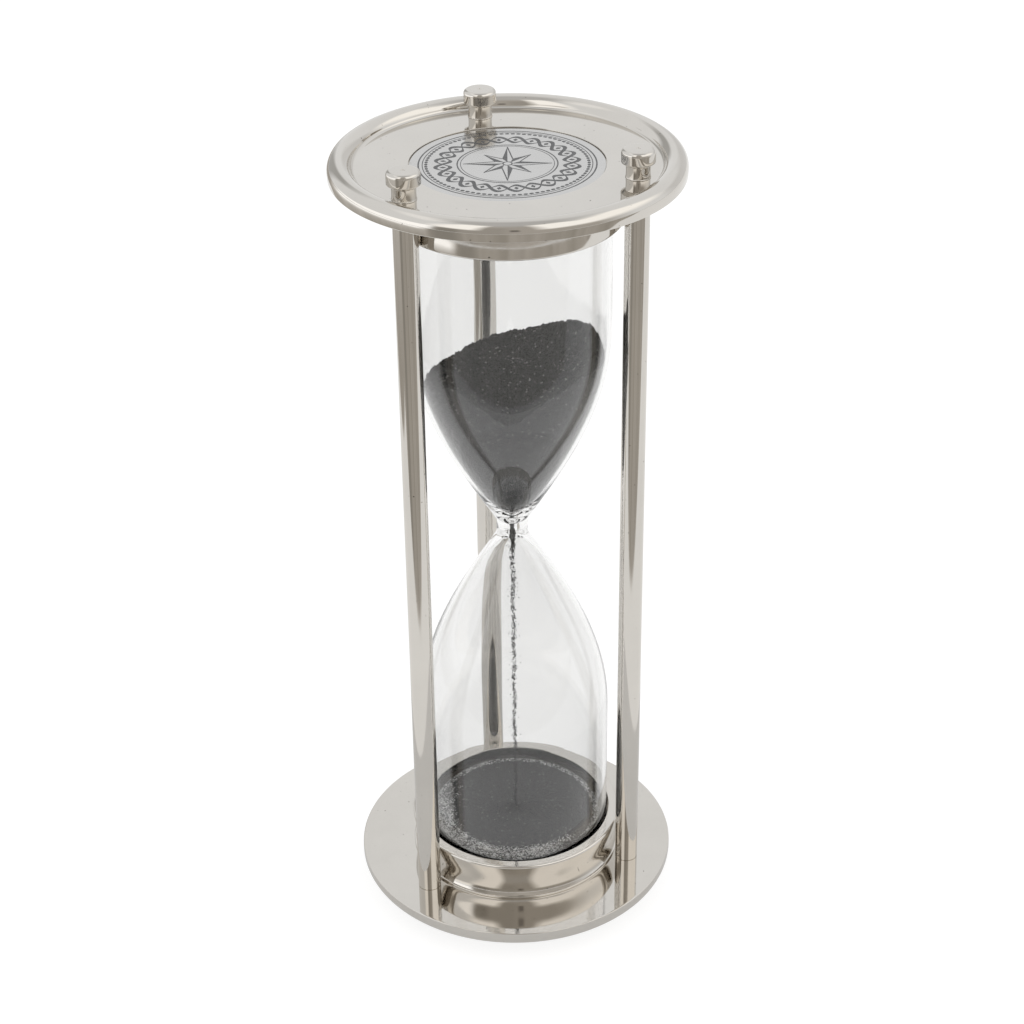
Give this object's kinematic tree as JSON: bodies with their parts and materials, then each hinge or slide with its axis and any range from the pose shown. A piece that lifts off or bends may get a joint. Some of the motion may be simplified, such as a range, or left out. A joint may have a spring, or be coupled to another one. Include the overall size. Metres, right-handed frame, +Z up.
{
  "type": "sand timer (hourglass)",
  "caption": "Sand timer: a clear blown double bulb with dark sand, clamped in collars between two round polished plates on three posts with finial nuts.",
  "frame": {"origin": "on the timer's axis, on the surface that the three foot nuts stand on", "axes": "+Z up along the axis of the bulbs; -Y faces the side with two posts in front and the third behind"},
  "size_m": [0.0762, 0.0762, 0.1926],
  "materials": {
    "nickel": "polished warm nickel plate",
    "medal_nickel": "polished, with a fine grain",
    "black_fill": "matt black enamel in the engraving",
    "clear_glass": "clear blown glass",
    "felt": "pale grey pressed felt",
    "dark_sand": "fine dark grey sand"
  },
  "bodies": {
    "frame": {"bottom_plate": "nickel", "top_plate": "nickel", "bottom_collar": "nickel", "top_collar": "nickel", "post_left": "nickel", "post_right": "nickel", "post_rear": "nickel", "glass_bulb": "clear_glass", "bottom_felt": "felt", "top_felt": "felt", "medallion": "medal_nickel", "emblem_inlay": "black_fill", "sand_upper": "dark_sand", "sand_stream": "dark_sand", "sand_lower": "dark_sand"},
    "nut_top_left": {"finial_top_left": "nickel"},
    "nut_top_right": {"finial_top_right": "nickel"},
    "nut_top_rear": {"finial_top_rear": "nickel"},
    "nut_foot_left": {"finial_foot_left": "nickel"},
    "nut_foot_right": {"finial_foot_right": "nickel"},
    "nut_foot_rear": {"finial_foot_rear": "nickel"}
  },
  "joints": [
    {"name": "unscrew_top_left", "type": "hinge", "parent": "frame", "child": "nut_top_left", "pos_m": [-0.0211, -0.019, 0.1864], "axis": [0, 0, 1], "range_deg": [0, 2520]},
    {"name": "unscrew_top_right", "type": "hinge", "parent": "frame", "child": "nut_top_right", "pos_m": [0.02701, -0.00878, 0.1864], "axis": [0, 0, 1], "range_deg": [0, 2520]},
    {"name": "unscrew_top_rear", "type": "hinge", "parent": "frame", "child": "nut_top_rear", "pos_m": [-0.0059, 0.02778, 0.1864], "axis": [0, 0, 1], "range_deg": [0, 2520]},
    {"name": "unscrew_foot_left", "type": "hinge", "parent": "frame", "child": "nut_foot_left", "pos_m": [-0.0211, -0.019, 0.0062], "axis": [0, 0, -1], "range_deg": [0, 2520]},
    {"name": "unscrew_foot_right", "type": "hinge", "parent": "frame", "child": "nut_foot_right", "pos_m": [0.02701, -0.00878, 0.0062], "axis": [0, 0, -1], "range_deg": [0, 2520]},
    {"name": "unscrew_foot_rear", "type": "hinge", "parent": "frame", "child": "nut_foot_rear", "pos_m": [-0.0059, 0.02778, 0.0062], "axis": [0, 0, -1], "range_deg": [0, 2520]}
  ]
}
